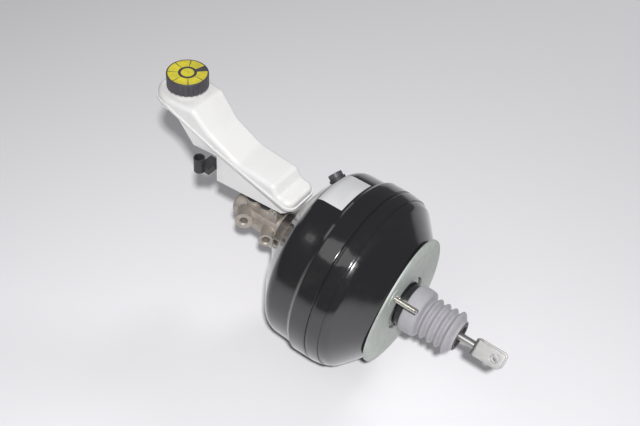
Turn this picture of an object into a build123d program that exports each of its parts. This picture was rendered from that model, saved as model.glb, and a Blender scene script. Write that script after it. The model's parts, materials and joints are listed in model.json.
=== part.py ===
from build123d import *
import os
from math import cos, hypot, radians, sin

# Tandem vacuum brake booster with its master cylinder and fluid reservoir.
# Millimetres. X is the booster axis, X = 0 is the bulkhead face of the mounting plate,
# -X is the cylinder end, +X the pedal end and +Z the filler cap side.

# ---- Pressed housing ----
SHEET = 2.0
FRONT_FACE_X = -213.0
SPIGOT_R = 18.0
NOSE_FLAT_R = 37.0
BEAD_X = -74.0
BEAD_R = 138.0
BEAD_DEPTH = 2.4
BEAD_WIDTH = 5.0
FRONT_WAIST = (-190.0, BEAD_R - 73.0)
FRONT_CONE = (-172.0, BEAD_R - 38.0)
FRONT_SHOULDER = (-148.0, BEAD_R - 5.5)
STEP_FRONT = (-107.5, BEAD_R - 4.5)
STEP_REAR = (-101.5, BEAD_R + 0.5)
CRIMP_X = -55.0
CRIMP_R = BEAD_R - 2.5
SKIRT_LENGTH = 8.0
REAR_SHOULDER = (-45.0, BEAD_R - 8.0)
REAR_CONE = (-22.0, BEAD_R - 34.0)
REAR_FLAT_R = BEAD_R - 54.0
HUB_R = 33.0
HUB_END_X = 14.0

# ---- Mounting plate and its studs ----
PLATE_T = 2.5
PLATE_LONG_R = 99.0
PLATE_SHORT_R = 86.0
PLATE_HOLE_R = 42.0
PLATE_DISH = 5.0
PAD_R = 15.0
PAD_RISE = 1.2
BULKHEAD_ROLL = 45.0
STUD_ROLL = -39.0
STUD_R = 4.0
STUD_NECK_R = 4.8
STUD_CIRCLE_R = 62.5
STUD_REACH = 36.0
STUD_HEAD_R = 8.5
STUD_HEAD_T = 2.5

# ---- Centre plate and running seals ----
DIVIDER_T = 1.5
DIVIDER_RIM_X = -94.0
DIVIDER_DISC_X = -85.0
DIVIDER_SKIRT_END_X = -78.0
DIVIDER_DISC_R = BEAD_R - 38.0
SEAL_T = 4.0
SEAL_LENGTH = 9.0
SLIDE_FIT = 0.08

# ---- Power piston ----
BODY_R = 28.0
TUBE_R = 21.0
TUBE_BORE_R = 16.0
TUBE_END_X = 90.0
BODY_SHOULDER_X = -20.0
FLANGE_R = 44.0
FLANGE_T = 6.0
FLANGE_REAR_X = -112.0
PISTON_PLATE_T = 1.6
FRONT_PLATE_RIM = (-117.0, BEAD_R - 28.0)
REAR_PLATE_RIM = (-40.0, BEAD_R - 26.0)
PLATE_RIM_DEPTH = 6.0
DIAPHRAGM_T = 1.6
DIAPHRAGM_BEAD = 4.5
DISC_R = 14.0
DISC_T = 6.0
ROD_HEAD_T = 6.0
OUTPUT_ROD_R = 5.5

# ---- Control valve ----
PLUNGER_R = 8.0
VALVE_TRAVEL = 1.6
KEY_X = -46.0
KEY_T = 3.0
KEY_W = 14.0
KEY_PLAY = 0.4
KEY_TOP_Z = 10.0
PLUNGER_NECK_R = 4.6
CHAMBER_X = -28.0
POPPET_R = 13.0
POPPET_HOLE_R = 9.0
POPPET_LENGTH = 15.0
RETAINER_T = 4.0
RETAINER_R = 27.0
AIRWAY_R = 4.0
AIRWAY_CIRCLE_R = 21.0
AIRWAY_LENGTH = 55.0
TIP_GAP = 0.4
FILTER_LENGTH = 22.0
FILTER_HOLE_R = 12.0

# ---- Operating rod and clevis ----
BALL_X = -36.0
BALL_R = 5.5
BALL_FIT = 0.06
SOCKET_MOUTH = 3.0
ROD_NECK_R = 3.4
ROD_R = 6.0
ROD_SHOULDER_X = -24.0
SPRING_STOP_R = 9.5
SPRING_STOP_X = 30.0
SPRING_STOP_T = 3.0
CLEVIS_START_X = 113.0
CLEVIS_WEB_T = 7.0
PIN_X = 146.0
PIN_R = 6.0
EAR_T = 5.0
EAR_HEIGHT = 24.0
EAR_END = 12.5
EAR_CORNER_R = 6.0
EAR_GAP = 14.0

# ---- Boot ----
BOOT_T = 2.4
BOOT_START_X = 9.0
BOOT_COLLAR_R = 36.5
BOOT_COLLAR_END_X = 32.0
BOOT_PEAK_R = 31.5
BOOT_VALLEY_R = 25.5
BOOT_FOLDS = 4
BOOT_PITCH = 12.0
BOOT_LAST_PEAK_R = 33.0

# ---- Master cylinder ----
BORE_R = 11.9
BORE_FRONT_X = -302.0
CYL_END_WALL = 6.0
CYL_WALL_R = 17.5
SPIGOT_END_X = -186.0
CYL_FLANGE_T = 8.0
CYL_STUD_CIRCLE_R = 28.0
CYL_LOBE_R = 9.0
CYL_HUB_R = 24.0
CYL_NUT_FLATS = 13.0
CYL_NUT_T = 7.0
CYL_STUD_HEAD_R = 5.5
SEAT_T = 1.5
FEED_X = (-277.0, -252.0)
FEED_BOSS_R = 11.5
FEED_TOP_Z = 30.0
GROMMET_R = 9.0
GROMMET_DEPTH = 9.0
GROMMET_LIP_R = 11.5
GROMMET_LIP_T = 3.0
NIPPLE_R = 6.0
NIPPLE_BORE_R = 4.0
PORT_ROOT_X = (-291.0, -247.0)
PORT_REACH = (37.0, 43.0)
PORT_BOSS_R = (13.5, 11.0)
PORT_DROP = (0.0, 6.0)
PORT_SWING = 31.0
PORT_RISE = 8.0
PORT_THREAD_R = 5.5
PORT_MOUTH_R = 7.0
PORT_DEPTH = 14.0
DRILL_R = 2.5
PISTON_FIT = 0.06
PRIMARY_LENGTH = 46.0
SECONDARY_LENGTH = 26.0
CHAMBER_GAP = 20.0
POCKET_DEPTH = 12.0
POCKET_R = 8.0
CUP_T = 4.0
CUP_SEAT_R = 9.5
SOCKET_DEPTH = 8.0
PISTON_START_X = -190.0

# ---- Reservoir ----
WALL = 2.5
CAP_X = -406.0
HEAD_FRONT_X = -451.0
HEAD_REAR_X = -406.0
HEAD_R = 38.0
WAIST_X = -338.0
LID_WAIST = 30.5
LID_TAIL = (-190.0, 30.0)
TUB_WAIST = 28.5
TUB_TAIL = (-196.0, 17.0)
TAIL_CORNER_R = 14.0
SEAM_LEVEL = (-412.0, 156.0)
SEAM_KNEE = (-335.0, 116.0)
SEAM_REAR = (-190.0, 78.5)
HEAD_TOP = (-368.0, 167.0)
CROWN_KNEE = (-338.0, 136.0)
DECK_FRONT = (-288.0, 112.0)
DECK_REAR = (-223.0, 108.0)
STEP_FOOT = (-213.0, 93.0)
TAIL_TOP_Z = 88.0
FLOOR_Z = 52.0
RAMP_FOOT_X = -214.0
RAMP_TOP = (-188.0, 70.0)
SENSOR_WALL_X = -328.0
CHIN_LOW = (-368.0, 103.0)
CHIN_HIGH = (-398.0, 148.0)
SEAM_LIP = 2.0
SEAM_LIP_T = 4.0
NECK_R = 25.0
NECK_BORE_R = 21.0
NECK_TOP_Z = 183.0
EDGE_R = 7.0
UNDERSIDE_Z = 101.0
TIE_PIN_R = 2.5
TIE_PIN_X = -233.0
TIE_PIN_Z = 33.5
TIE_TAB_T = 8.0
TIE_LUG_T = 7.0
TIE_LUG_R = 7.0
TAB_CLEAR = 0.3
TIE_PIN_HEAD_R = 3.8

# ---- Cap ----
CAP_R = 30.5
CAP_BOTTOM_Z = 177.0
CAP_TOP_Z = 197.0
CAP_WALL = 2.5
CAP_RIM_W = 1.9
CAP_RECESS = 0.5
CAP_LOBES = 24
CAP_RUN = 0.4
CAP_SEAL_T = 3.0

# ---- Level sensor and float ----
SENSOR_Z = 78.0
SENSOR_R = 8.0
SENSOR_Y = -17.5
SENSOR_SEAT = 4.5
SENSOR_PROBE_R = 5.0
SENSOR_LENGTH = 30.0
SOCKET_R = 8.5
SOCKET_BORE_R = 6.6
SOCKET_TOP_Z = 97.5
SOCKET_HEIGHT = 25.0
SOCKET_DEPTH_Z = 15.0
SOCKET_X = SENSOR_WALL_X - 20.0
SOCKET_Y = -43.0
FLOAT_R = 14.0
FLOAT_H = 14.0
FLOAT_X = SENSOR_WALL_X + 46.0
FLOAT_POST_R = 3.0
FLOAT_POST_TOP_Z = 96.0

# ---- Vacuum check valve ----
VALVE_TURN = 21.5
VALVE_SLANT_X = -160.5
VALVE_R = 8.0
GROMMET_WAIST_R = 10.5
GROMMET_FLARE_R = 12.5
GROMMET_BOW = 1.2
VALVE_HEAD_R = 10.5
VALVE_HEAD_LOW = 5.0
VALVE_HEAD_TOP = 12.0
VACUUM_BORE_R = 5.5
VACUUM_BORE_LENGTH = 9.0
VALVE_PASSAGE_R = 3.0

# ---- Springs ----
POWER_SPRING_R = 26.0
POWER_WIRE = 4.0
POWER_TURNS = 6
SMALL_WIRE = 1.6


# ---- Shared shapes ----
def turned(*points):
    """Solid of revolution about the booster axis from (x, radius) points."""
    return revolve(make_face(Polyline(*points, close=True)), Axis.X)


def ring(x_low, x_high, outer, inner=0.0):
    return turned((x_low, inner), (x_high, inner), (x_high, outer), (x_low, outer))


def pressed(points, bends, thickness):
    """Sheet of even thickness, turned about the axis from its centre line."""
    path = FilletPolyline(*points, radius=bends)
    return revolve(trace(path, thickness), Axis.X)


def round_bar(start, direction, length, radius):
    base = Plane(origin=start, z_dir=direction)
    return base * Cylinder(radius, length, align=(Align.CENTER, Align.CENTER, Align.MIN))


def around_axis(radius, angle):
    """Y and Z of a point at a radius, the angle measured from +Z towards +Y."""
    return radius * sin(radians(angle)), radius * cos(radians(angle))


def slab(x_low, x_high, y_low, y_high, z_low, z_high):
    size = (x_high - x_low, y_high - y_low, z_high - z_low)
    middle = ((x_low + x_high) / 2, (y_low + y_high) / 2, (z_low + z_high) / 2)
    return Pos(*middle) * Box(*size)


def coil(x_low, x_high, radius, wire, turns):
    """Helical spring of square wire whose ends lie within x_low and x_high."""
    margin = 0.7 * wire
    length = x_high - x_low - 2 * margin
    path = Helix(length / turns, length, radius, center=(x_low + margin, 0, 0), direction=(1, 0, 0))
    section = Plane(origin=path @ 0, x_dir=(1, 0, 0), z_dir=path % 0) * Rectangle(wire, wire)
    return sweep(section, path=path)


# ---- Places worked out from the driving dimensions ----
PLATE_REAR_X = -PAD_RISE
PLATE_FRONT_X = PLATE_REAR_X - PLATE_T
STUD_ANGLES = (STUD_ROLL, STUD_ROLL + 180)
CYL_STUD_ANGLES = (BULKHEAD_ROLL, BULKHEAD_ROLL + 180)
SHELL_INNER_R = BEAD_R - SHEET / 2
FLANGE_FRONT_X = FLANGE_REAR_X - FLANGE_T
DISC_REAR_X = FLANGE_FRONT_X + ROD_HEAD_T + DISC_T
PRIMARY_FRONT_X = PISTON_START_X - PRIMARY_LENGTH
SECONDARY_REAR_X = PRIMARY_FRONT_X - CHAMBER_GAP
SECONDARY_FRONT_X = SECONDARY_REAR_X - SECONDARY_LENGTH
CYL_FLANGE_FRONT_X = FRONT_FACE_X - CYL_FLANGE_T


CRIMP_TAPER = (BEAD_R - CRIMP_R) / (CRIMP_X - BEAD_X - BEAD_WIDTH / 2)
CRIMP_NEST = SHEET * hypot(1, CRIMP_TAPER)


def crimp_radius(x):
    """Centre-line radius of the front shell between its bead and its rear edge."""
    return CRIMP_R + CRIMP_TAPER * (CRIMP_X - x)


def seam_z(x):
    """Height of the reservoir's weld seam: level under the head, then falling in two slopes."""
    start, end = (SEAM_LEVEL, SEAM_KNEE) if x < SEAM_KNEE[0] else (SEAM_KNEE, SEAM_REAR)
    slope = (end[1] - start[1]) / (end[0] - start[0])
    return min(SEAM_LEVEL[1], start[1] + slope * (x - start[0]))


# ---- Housing ----
def valve_place():
    """Centre and outward direction of the vacuum valve on the front cone."""
    run = FRONT_SHOULDER[0] - FRONT_CONE[0]
    rise = FRONT_SHOULDER[1] - FRONT_CONE[1]
    radius = FRONT_CONE[1] + (VALVE_SLANT_X - FRONT_CONE[0]) * rise / run
    outward = around_axis(run / hypot(run, rise), VALVE_TURN)
    return (VALVE_SLANT_X, *around_axis(radius, VALVE_TURN)), (-rise / hypot(run, rise), *outward)


def front_shell():
    face_x = FRONT_FACE_X + SHEET / 2
    low, high = BEAD_X - BEAD_WIDTH / 2, BEAD_X + BEAD_WIDTH / 2
    points = [(face_x, SPIGOT_R), (face_x, NOSE_FLAT_R), FRONT_WAIST, FRONT_CONE, FRONT_SHOULDER]
    points += [STEP_FRONT, STEP_REAR, (low, BEAD_R), (low + 1, BEAD_R - BEAD_DEPTH)]
    points += [(high - 1, BEAD_R - BEAD_DEPTH), (high, BEAD_R), (CRIMP_X, CRIMP_R)]
    shell = pressed(points, [4, 40, 60, 20, 3, 3, 1, 1, 1, 1], SHEET)
    centre, outward = valve_place()
    inward_start = tuple(c - 10 * o for c, o in zip(centre, outward))
    shell -= round_bar(inward_start, outward, 20, GROMMET_WAIST_R)
    for angle in CYL_STUD_ANGLES:
        y, z = around_axis(CYL_STUD_CIRCLE_R, angle)
        shell -= round_bar((FRONT_FACE_X - 1, y, z), (1, 0, 0), SHEET + 2, STUD_R)
    return shell


def rear_shell():
    face_x = PLATE_FRONT_X - SHEET / 2
    hub_r = HUB_R - SHEET / 2
    skirt_x = CRIMP_X + 3
    skirt_end = CRIMP_X - SKIRT_LENGTH
    points = [(HUB_END_X, hub_r), (face_x, hub_r), (face_x, REAR_FLAT_R), REAR_CONE, REAR_SHOULDER]
    points += [(x, crimp_radius(x) - CRIMP_NEST) for x in (skirt_x, skirt_end)]
    shell = pressed(points, [3, 12, 60, 12, 4], SHEET)
    for angle in STUD_ANGLES:
        y, z = around_axis(STUD_CIRCLE_R, angle)
        shell -= round_bar((PLATE_FRONT_X - SHEET - 1, y, z), (1, 0, 0), SHEET + 2, STUD_NECK_R)
    return shell


def mounting_plate():
    middle_x = PLATE_REAR_X - PLATE_T / 2
    rim = (middle_x - PLATE_DISH, PLATE_LONG_R + PLATE_T)
    dished = pressed([(middle_x, PLATE_HOLE_R), (middle_x, REAR_FLAT_R), rim], 15, PLATE_T)
    outline = Plane.YZ * Rot(0, 0, 90 - BULKHEAD_ROLL) * Ellipse(PLATE_LONG_R, PLATE_SHORT_R)
    plate = dished & extrude(outline, 2 * PLATE_DISH + PLATE_T, both=True)
    for angle in STUD_ANGLES:
        y, z = around_axis(STUD_CIRCLE_R, angle)
        plate += round_bar((PLATE_REAR_X - PLATE_T / 2, y, z), (1, 0, 0), PAD_RISE + PLATE_T / 2, PAD_R)
        plate -= round_bar((PLATE_FRONT_X - 1, y, z), (1, 0, 0), PLATE_T + PAD_RISE + 2, STUD_NECK_R)
    return plate


def turned_stud(inner_x):
    """Press-in stud on the booster axis: head, plain neck in the plate and thread."""
    return turned(
        (inner_x - STUD_HEAD_T, 0),
        (inner_x - STUD_HEAD_T, STUD_HEAD_R),
        (inner_x, STUD_HEAD_R),
        (inner_x, STUD_NECK_R),
        (0, STUD_NECK_R),
        (0, STUD_R),
        (STUD_REACH - 1, STUD_R),
        (STUD_REACH, STUD_R - 1),
        (STUD_REACH, 0),
    )


def mounting_studs():
    inner_x = PLATE_FRONT_X - SHEET
    studs = []
    for angle in STUD_ANGLES:
        y, z = around_axis(STUD_CIRCLE_R, angle)
        stud = turned_stud(inner_x)
        studs.append(Pos(0, y, z) * stud)
    return Compound(children=studs)


def hub_guide():
    return ring(PLATE_FRONT_X - SHEET, HUB_END_X - 2, HUB_R - SHEET, TUBE_R + SLIDE_FIT)


def centre_plate():
    carrier_r = BODY_R + SLIDE_FIT + SEAL_T + DIVIDER_T / 2
    skirt_r = SHELL_INNER_R - DIVIDER_T / 2
    points = [(DIVIDER_DISC_X - SEAL_LENGTH, carrier_r), (DIVIDER_DISC_X, carrier_r)]
    points += [(DIVIDER_DISC_X, DIVIDER_DISC_R), (DIVIDER_RIM_X, DIVIDER_DISC_R + 22)]
    points += [(DIVIDER_RIM_X, skirt_r), (DIVIDER_SKIRT_END_X, skirt_r)]
    return pressed(points, [1, 12, 10, 2], DIVIDER_T)


def centre_seal():
    inner = BODY_R + SLIDE_FIT
    return ring(DIVIDER_DISC_X - SEAL_LENGTH, DIVIDER_DISC_X, inner + SEAL_T, inner)


# ---- Power piston ----
def piston_plate_points(hub_x, hub_r, rim):
    return [(hub_x, hub_r), (hub_x, 60), rim, (rim[0] - PLATE_RIM_DEPTH, rim[1] + 2)]


def front_piston_plate():
    hub_x = FLANGE_REAR_X + PISTON_PLATE_T / 2
    return pressed(piston_plate_points(hub_x, BODY_R, FRONT_PLATE_RIM), [60, 2], PISTON_PLATE_T)


def rear_piston_plate():
    hub_x = BODY_SHOULDER_X + PISTON_PLATE_T / 2
    return pressed(piston_plate_points(hub_x, TUBE_R, REAR_PLATE_RIM), [60, 2], PISTON_PLATE_T)


def diaphragm(hub_x, hub_r, rim, fold, bead_x, bead_r):
    """Rubber web on the plate's rear side, its rolling fold and its rim bead."""
    half = DIAPHRAGM_BEAD / 2
    lift = (PISTON_PLATE_T + DIAPHRAGM_T) / 2
    wrap_r = rim[1] + 2 + lift
    points = [(hub_x + lift, hub_r), (hub_x + lift, 60), (rim[0] + lift, wrap_r)]
    points += [*fold, (bead_x, bead_r - half)]
    web = pressed(points, [50] + [2] * (len(points) - 3), DIAPHRAGM_T)
    return web + ring(bead_x - half, bead_x + half, bead_r, bead_r - DIAPHRAGM_BEAD)


def front_diaphragm():
    rim_x, rim_r = FRONT_PLATE_RIM
    fold_x = rim_x - PLATE_RIM_DEPTH - 6
    bead_x = DIVIDER_RIM_X - DIVIDER_T / 2 - DIAPHRAGM_BEAD / 2
    inner_r = rim_r + 5.5
    outer_r = SHELL_INNER_R - 8
    middle_r = (inner_r + outer_r) / 2
    fold = [(fold_x, inner_r), (fold_x - 3, middle_r), (fold_x, outer_r), (bead_x - 9, outer_r)]
    hub_x = FLANGE_REAR_X + PISTON_PLATE_T / 2
    return diaphragm(hub_x, BODY_R, FRONT_PLATE_RIM, fold, bead_x, SHELL_INNER_R)


def rear_diaphragm():
    rim_x, rim_r = REAR_PLATE_RIM
    fold_x = rim_x - PLATE_RIM_DEPTH - 4
    rear_edge = CRIMP_X - SKIRT_LENGTH - SHEET * CRIMP_TAPER
    bead_x = rear_edge - DIAPHRAGM_BEAD / 2
    bead_r = crimp_radius(rear_edge) - CRIMP_NEST / 2
    fold = [(fold_x, rim_r + 5.5), (bead_x + 5, bead_r - 7)]
    hub_x = BODY_SHOULDER_X + PISTON_PLATE_T / 2
    return diaphragm(hub_x, RETAINER_R, REAR_PLATE_RIM, fold, bead_x, bead_r)


def plate_retainer():
    start = BODY_SHOULDER_X + PISTON_PLATE_T
    return ring(start, start + RETAINER_T, RETAINER_R, TUBE_R)


def key_blank():
    y_half = KEY_W / 2
    return slab(KEY_X - KEY_T / 2, KEY_X + KEY_T / 2, -y_half, y_half, -BODY_R, KEY_TOP_Z)


def valve_body():
    bore = PLUNGER_R + SLIDE_FIT
    body = turned(
        (FLANGE_FRONT_X, DISC_R),
        (FLANGE_FRONT_X, FLANGE_R),
        (FLANGE_REAR_X, FLANGE_R),
        (FLANGE_REAR_X, BODY_R),
        (BODY_SHOULDER_X, BODY_R),
        (BODY_SHOULDER_X, TUBE_R),
        (TUBE_END_X, TUBE_R),
        (TUBE_END_X, TUBE_BORE_R),
        (CHAMBER_X, TUBE_BORE_R),
        (CHAMBER_X, bore),
        (DISC_REAR_X, bore),
        (DISC_REAR_X, DISC_R),
    )
    for angle in range(0, 360, 60):
        y, z = around_axis(AIRWAY_CIRCLE_R, angle)
        body -= round_bar((FLANGE_FRONT_X - 1, y, z), (1, 0, 0), AIRWAY_LENGTH, AIRWAY_R)
    return body - key_blank()


def reaction_disc():
    return ring(DISC_REAR_X - DISC_T, DISC_REAR_X, DISC_R)


def output_rod():
    tip_x = PISTON_START_X - SOCKET_DEPTH + TIP_GAP
    rod = ring(FLANGE_FRONT_X, FLANGE_FRONT_X + ROD_HEAD_T, DISC_R)
    rod += ring(tip_x, FLANGE_FRONT_X, OUTPUT_ROD_R)
    return chamfer(rod.edges().sort_by(Axis.X)[0], 2)


def retaining_key():
    half = PLUNGER_NECK_R + KEY_PLAY
    notch = slab(KEY_X - KEY_T, KEY_X + KEY_T, -half, half, 0, KEY_TOP_Z + 1)
    return key_blank() - notch - ring(KEY_X - KEY_T, KEY_X + KEY_T, half)


def poppet_valve():
    rear_x = CHAMBER_X + POPPET_LENGTH
    return turned(
        (CHAMBER_X + TIP_GAP, POPPET_HOLE_R),
        (CHAMBER_X + 3, POPPET_HOLE_R),
        (CHAMBER_X + 3, POPPET_R - 2),
        (rear_x, POPPET_R - 2),
        (rear_x, TUBE_BORE_R),
        (rear_x - 3, TUBE_BORE_R),
        (rear_x - 3, POPPET_R),
        (CHAMBER_X + TIP_GAP, POPPET_R),
    )


def valve_retainer():
    rear_x = CHAMBER_X + POPPET_LENGTH
    return ring(rear_x, rear_x + RETAINER_T, TUBE_BORE_R, POPPET_R - 2)


def air_filter():
    return ring(TUBE_END_X - 4 - FILTER_LENGTH, TUBE_END_X - 4, TUBE_BORE_R, FILTER_HOLE_R)


# ---- Control plunger and operating rod ----
def control_plunger():
    neck_low = KEY_X - KEY_T / 2 - KEY_PLAY
    neck_high = KEY_X + KEY_T / 2 + VALVE_TRAVEL + KEY_PLAY
    front_x = DISC_REAR_X + VALVE_TRAVEL + TIP_GAP
    rear_x = BALL_X + SOCKET_MOUTH
    mouth_r = BALL_R - 0.8
    plunger = turned(
        (front_x, 0),
        (front_x, PLUNGER_R),
        (neck_low, PLUNGER_R),
        (neck_low, PLUNGER_NECK_R),
        (neck_high, PLUNGER_NECK_R),
        (neck_high, PLUNGER_R),
        (rear_x, PLUNGER_R),
        (rear_x, mouth_r),
        (BALL_X, mouth_r),
        (BALL_X, 0),
    )
    return plunger - Pos(BALL_X, 0, 0) * Sphere(BALL_R + BALL_FIT)


def operating_rod():
    thread_end = CLEVIS_START_X + CLEVIS_WEB_T
    rod = ring(BALL_X, ROD_SHOULDER_X, ROD_NECK_R) + Pos(BALL_X, 0, 0) * Sphere(BALL_R)
    rod += ring(ROD_SHOULDER_X, thread_end, ROD_R)
    return rod + ring(SPRING_STOP_X, SPRING_STOP_X + SPRING_STOP_T, SPRING_STOP_R)


def rod_spring():
    start = CHAMBER_X + POPPET_LENGTH + RETAINER_T
    return coil(start, SPRING_STOP_X, SPRING_STOP_R - SMALL_WIRE / 2, SMALL_WIRE, 3)


def clevis():
    """Fork of bent strip: two ears round the pedal pin and the web on the rod."""
    half_width = EAR_GAP / 2 + EAR_T
    end_x = PIN_X + EAR_END
    blank = slab(CLEVIS_START_X, end_x, -EAR_HEIGHT / 2, EAR_HEIGHT / 2, -half_width, half_width)
    blank = fillet(blank.edges().filter_by(Axis.Y).group_by(Axis.X)[0], EAR_T)
    blank = fillet(blank.edges().filter_by(Axis.Z).group_by(Axis.X)[-1], EAR_CORNER_R)
    gap_x = CLEVIS_START_X + CLEVIS_WEB_T
    blank -= slab(gap_x, end_x + 1, -EAR_HEIGHT, EAR_HEIGHT, -EAR_GAP / 2, EAR_GAP / 2)
    blank -= round_bar((PIN_X, 0, -half_width - 1), (0, 0, 1), 2 * half_width + 2, PIN_R)
    blank -= ring(CLEVIS_START_X - 1, gap_x, ROD_R)
    return Rot(90 - BULKHEAD_ROLL, 0, 0) * blank


# ---- Boot ----
def boot():
    half = BOOT_T / 2
    points = [(BOOT_START_X, HUB_R + half), (BOOT_START_X + 6, HUB_R + half)]
    points += [(BOOT_START_X + 7, BOOT_COLLAR_R - half), (BOOT_COLLAR_END_X, BOOT_COLLAR_R - BOOT_T)]
    for fold in range(BOOT_FOLDS):
        valley_x = BOOT_COLLAR_END_X + BOOT_PITCH * (fold + 0.4)
        points += [(valley_x, BOOT_VALLEY_R - half), (valley_x + BOOT_PITCH / 2, BOOT_PEAK_R - half)]
    last_x = BOOT_COLLAR_END_X + BOOT_PITCH * (BOOT_FOLDS + 0.4)
    points[-1] = (last_x - BOOT_PITCH / 2, BOOT_LAST_PEAK_R - half)
    grip_r = TUBE_R + half
    points += [(TUBE_END_X - 4, grip_r), (TUBE_END_X, grip_r)]
    return pressed(points, 0.8, BOOT_T)


# ---- Master cylinder ----
def port_direction():
    level = cos(radians(PORT_RISE))
    swing = radians(PORT_SWING)
    return (level * sin(swing), -level * cos(swing), sin(radians(PORT_RISE)))


def port_face(index):
    root = (PORT_ROOT_X[index], 0, -PORT_DROP[index])
    return tuple(r + PORT_REACH[index] * d for r, d in zip(root, port_direction()))


def cylinder_flange():
    outline = Circle(CYL_HUB_R)
    for angle in CYL_STUD_ANGLES:
        y, z = around_axis(CYL_STUD_CIRCLE_R, angle)
        outline += Pos(y, z) * Circle(CYL_LOBE_R)
    blank = make_hull(outline.edges())
    flange = Pos(CYL_FLANGE_FRONT_X, 0, 0) * extrude(Plane.YZ * blank, CYL_FLANGE_T)
    for angle in CYL_STUD_ANGLES:
        y, z = around_axis(CYL_STUD_CIRCLE_R, angle)
        flange -= round_bar((CYL_FLANGE_FRONT_X - 1, y, z), (1, 0, 0), CYL_FLANGE_T + 2, STUD_R)
    return flange


def cylinder_casting():
    tail_x = BORE_FRONT_X - CYL_END_WALL
    barrel = ring(tail_x, CYL_FLANGE_FRONT_X, CYL_WALL_R)
    barrel = fillet(barrel.edges().sort_by(Axis.X)[0], 5)
    casting = barrel + ring(FRONT_FACE_X, SPIGOT_END_X, SPIGOT_R) + cylinder_flange()
    casting += slab(FEED_X[0], TIE_PIN_X, -FEED_BOSS_R, FEED_BOSS_R, 0, FEED_TOP_Z - 6)
    for feed in FEED_X:
        casting += round_bar((feed, 0, 0), (0, 0, 1), FEED_TOP_Z, FEED_BOSS_R)
    for index in range(2):
        root = (PORT_ROOT_X[index], 0, -PORT_DROP[index])
        casting += round_bar(root, port_direction(), PORT_REACH[index], PORT_BOSS_R[index])
    web_y = -CYL_WALL_R - 6
    casting += slab(PORT_ROOT_X[0] + 10, PORT_ROOT_X[1] + 14, web_y, 0, -8, 4)
    lug_y = TIE_TAB_T / 2 + TAB_CLEAR + TIE_LUG_T
    lug_top = TIE_PIN_Z + TIE_LUG_R
    lugs = slab(TIE_PIN_X - TIE_LUG_R, TIE_PIN_X + TIE_LUG_R, -lug_y, lug_y, 0, lug_top)
    return casting + fillet(lugs.edges().filter_by(Axis.Y).group_by(Axis.Z)[-1], TIE_LUG_R - 1)


def cylinder_body():
    body = cylinder_casting() - ring(BORE_FRONT_X, SPIGOT_END_X + 1, BORE_R)
    for feed in FEED_X:
        body -= round_bar((feed, 0, FEED_TOP_Z - GROMMET_DEPTH), (0, 0, 1), GROMMET_DEPTH + 1, GROMMET_R)
        body -= round_bar((feed, 0, 0), (0, 0, 1), FEED_TOP_Z, DRILL_R)
    inward = tuple(-d for d in port_direction())
    for index in range(2):
        face = port_face(index)
        body -= round_bar(face, inward, PORT_DEPTH, PORT_THREAD_R)
        body -= round_bar(face, inward, PORT_REACH[index], DRILL_R)
        mouth = Cone(PORT_MOUTH_R, PORT_THREAD_R, 2, align=(Align.CENTER, Align.CENTER, Align.MIN))
        body -= Plane(origin=face, z_dir=inward) * mouth
    half_gap = TIE_TAB_T / 2 + TAB_CLEAR
    reach = TIE_LUG_R + 1
    slot_low, slot_high = TIE_PIN_X - reach, TIE_PIN_X + reach
    body -= slab(slot_low, slot_high, -half_gap, half_gap, FEED_TOP_Z - 6, TIE_PIN_Z + reach)
    return body - round_bar((TIE_PIN_X, -30, TIE_PIN_Z), (0, 1, 0), 60, TIE_PIN_R)


def cylinder_studs():
    inner_x = FRONT_FACE_X + SHEET
    reach = SHEET + CYL_FLANGE_T + CYL_NUT_T + 5
    studs = []
    for angle in CYL_STUD_ANGLES:
        y, z = around_axis(CYL_STUD_CIRCLE_R, angle)
        stud = round_bar((inner_x - reach, y, z), (1, 0, 0), reach, STUD_R)
        studs.append(stud + round_bar((inner_x, y, z), (1, 0, 0), STUD_HEAD_T, CYL_STUD_HEAD_R))
    return Compound(children=studs)


def hexagon_nut(start, direction, thickness, flats, hole_r):
    face = RegularPolygon(flats / 2, 6, major_radius=False) - Circle(hole_r)
    return Plane(origin=start, z_dir=direction) * extrude(face, thickness)


def cylinder_nuts():
    nuts = []
    for angle in CYL_STUD_ANGLES:
        y, z = around_axis(CYL_STUD_CIRCLE_R, angle)
        start = (CYL_FLANGE_FRONT_X, y, z)
        nuts.append(hexagon_nut(start, (-1, 0, 0), CYL_NUT_T, CYL_NUT_FLATS, STUD_R))
    return Compound(children=nuts)


def spring_seat():
    start = FRONT_FACE_X + SHEET + STUD_HEAD_T
    return ring(start, start + SEAT_T, NOSE_FLAT_R - 3, SPIGOT_R)


def spigot_seal():
    start = FRONT_FACE_X + SHEET
    return ring(start, start + STUD_HEAD_T, SPIGOT_R + STUD_HEAD_T, SPIGOT_R)


def power_spring():
    start = FRONT_FACE_X + SHEET + STUD_HEAD_T + SEAT_T
    return coil(start, FLANGE_FRONT_X, POWER_SPRING_R, POWER_WIRE, POWER_TURNS)


def piston_stop():
    return ring(PISTON_START_X + TIP_GAP, SPIGOT_END_X, BORE_R, OUTPUT_ROD_R + 1)


def piston(front_x, rear_x, cup_places, socket_depth):
    outer = BORE_R - PISTON_FIT
    body = ring(front_x, rear_x, outer) - ring(front_x - 1, front_x + POCKET_DEPTH, POCKET_R)
    if socket_depth:
        body -= ring(rear_x - socket_depth, rear_x + 1, OUTPUT_ROD_R + 0.5)
    for place in cup_places:
        body -= ring(place, place + CUP_T, outer + 1, CUP_SEAT_R)
    return body


def cups(places):
    outer = BORE_R - PISTON_FIT
    return Compound(children=[ring(place, place + CUP_T, outer, CUP_SEAT_R) for place in places])


def cup_places(front_x, rear_x):
    return (front_x + 3, rear_x - 3 - CUP_T)


def primary_piston():
    places = cup_places(PRIMARY_FRONT_X, PISTON_START_X)
    return piston(PRIMARY_FRONT_X, PISTON_START_X, places, SOCKET_DEPTH)


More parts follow.
